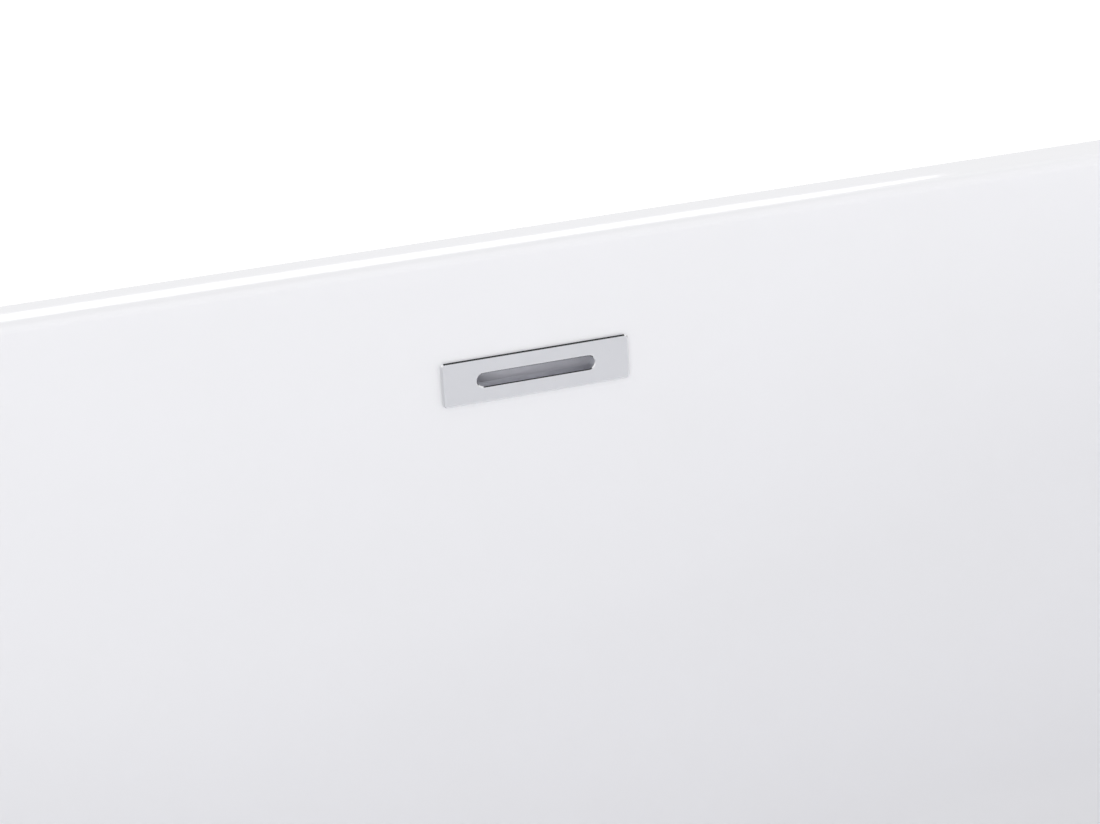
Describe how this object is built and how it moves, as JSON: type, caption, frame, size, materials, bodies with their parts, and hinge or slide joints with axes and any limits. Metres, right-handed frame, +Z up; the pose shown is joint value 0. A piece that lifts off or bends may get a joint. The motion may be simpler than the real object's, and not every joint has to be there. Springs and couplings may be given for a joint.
{
  "type": "back-to-wall bathtub",
  "caption": "Bath with one straight side for a wall, rounded room side, slim rim, slot overflow, click plug, trap and screw feet.",
  "frame": {"origin": "on the floor under the middle of the rim's outline", "axes": "+X along the wall, +Y towards the wall, +Z up"},
  "size_m": [1.7, 0.8, 0.58],
  "materials": {
    "acrylic": "gloss white cast acrylic",
    "glassfibre": "sprayed glass fibre in resin, rough",
    "board": "raw chipboard",
    "timber": "planed softwood",
    "zinc_steel": "zinc plated",
    "black_plastic": "moulded, matt",
    "rubber": "soft seal",
    "chrome": "polished chrome plate",
    "pipe_plastic": "white polypropylene",
    "nut_plastic": "white polypropylene nuts",
    "brass": "turned brass",
    "spring_steel": "drawn spring wire"
  },
  "bodies": {
    "tub": {"basin_shell": "acrylic", "outer_skirt": "acrylic", "glassfibre_backing": "glassfibre", "base_board": "board", "rim_batten": "timber", "wall_bracket_left": "zinc_steel", "wall_bracket_right": "zinc_steel", "wall_bracket_screws": "zinc_steel", "cross_rail_left": "zinc_steel", "cross_rail_right": "zinc_steel", "rail_end_caps": "black_plastic", "board_screws": "zinc_steel", "weld_nuts": "zinc_steel", "lock_nuts": "zinc_steel", "skirt_bracket_left": "zinc_steel", "skirt_bracket_right": "zinc_steel", "skirt_bracket_bolts": "zinc_steel", "overflow_cover": "chrome", "overflow_cover_seal": "rubber", "overflow_body_gasket": "rubber", "overflow_body": "pipe_plastic", "overflow_stud_nuts": "brass", "overflow_pipe": "pipe_plastic", "overflow_pipe_collar": "rubber", "overflow_pipe_nut": "nut_plastic", "overflow_pipe_seal": "rubber", "waste_flange": "chrome", "waste_flange_gasket": "rubber", "waste_body_gasket": "rubber", "waste_body": "pipe_plastic", "click_cartridge": "brass", "click_collar": "brass", "click_spring": "spring_steel", "trap_inlet_nut": "nut_plastic", "trap_inlet_seal": "rubber", "trap_bowl": "pipe_plastic", "trap_cleaning_cap": "nut_plastic", "trap_cap_seal": "rubber", "trap_outlet_nut": "nut_plastic", "trap_outlet_seal": "rubber", "outlet_bend": "pipe_plastic", "outlet_coupling": "nut_plastic", "outlet_pipe": "pipe_plastic"},
    "plug": {"plug_cap": "chrome", "plug_seal": "rubber", "plug_stem": "brass"},
    "pad_front_left": {"foot_pad_front_left": "black_plastic"},
    "stud_front_left": {"foot_stud_front_left": "zinc_steel"},
    "pad_front_right": {"foot_pad_front_right": "black_plastic"},
    "stud_front_right": {"foot_stud_front_right": "zinc_steel"},
    "pad_rear_left": {"foot_pad_rear_left": "black_plastic"},
    "stud_rear_left": {"foot_stud_rear_left": "zinc_steel"},
    "pad_rear_right": {"foot_pad_rear_right": "black_plastic"},
    "stud_rear_right": {"foot_stud_rear_right": "zinc_steel"}
  },
  "joints": [
    {"name": "plug_lift", "type": "slide", "parent": "tub", "child": "plug", "axis": [0, 0, 1], "range_m": [0, 0.009], "deforming": ["click_spring"]},
    {"name": "foot_lift_front_left", "type": "slide", "parent": "tub", "child": "pad_front_left", "axis": [0, 0, 1], "range_m": [-0.02, 0.004]},
    {"name": "foot_turn_front_left", "type": "hinge", "parent": "pad_front_left", "child": "stud_front_left", "pos_m": [-0.43423, -0.28, 0], "axis": [0, 0, 1], "range_deg": [-4115, 824]},
    {"name": "foot_lift_front_right", "type": "slide", "parent": "tub", "child": "pad_front_right", "axis": [0, 0, 1], "range_m": [-0.02, 0.004]},
    {"name": "foot_turn_front_right", "type": "hinge", "parent": "pad_front_right", "child": "stud_front_right", "pos_m": [0.43423, -0.28, 0], "axis": [0, 0, 1], "range_deg": [-4115, 824]},
    {"name": "foot_lift_rear_left", "type": "slide", "parent": "tub", "child": "pad_rear_left", "axis": [0, 0, 1], "range_m": [-0.02, 0.004]},
    {"name": "foot_turn_rear_left", "type": "hinge", "parent": "pad_rear_left", "child": "stud_rear_left", "pos_m": [-0.43423, 0.28, 0], "axis": [0, 0, 1], "range_deg": [-4115, 824]},
    {"name": "foot_lift_rear_right", "type": "slide", "parent": "tub", "child": "pad_rear_right", "axis": [0, 0, 1], "range_m": [-0.02, 0.004]},
    {"name": "foot_turn_rear_right", "type": "hinge", "parent": "pad_rear_right", "child": "stud_rear_right", "pos_m": [0.43423, 0.28, 0], "axis": [0, 0, 1], "range_deg": [-4115, 824]}
  ],
  "couplings": [
    {"joint": "foot_turn_front_left", "follows": "foot_lift_front_left", "rad_per_m": 3590.4},
    {"joint": "foot_turn_front_right", "follows": "foot_lift_front_right", "rad_per_m": 3590.4},
    {"joint": "foot_turn_rear_left", "follows": "foot_lift_rear_left", "rad_per_m": 3590.4},
    {"joint": "foot_turn_rear_right", "follows": "foot_lift_rear_right", "rad_per_m": 3590.4}
  ]
}
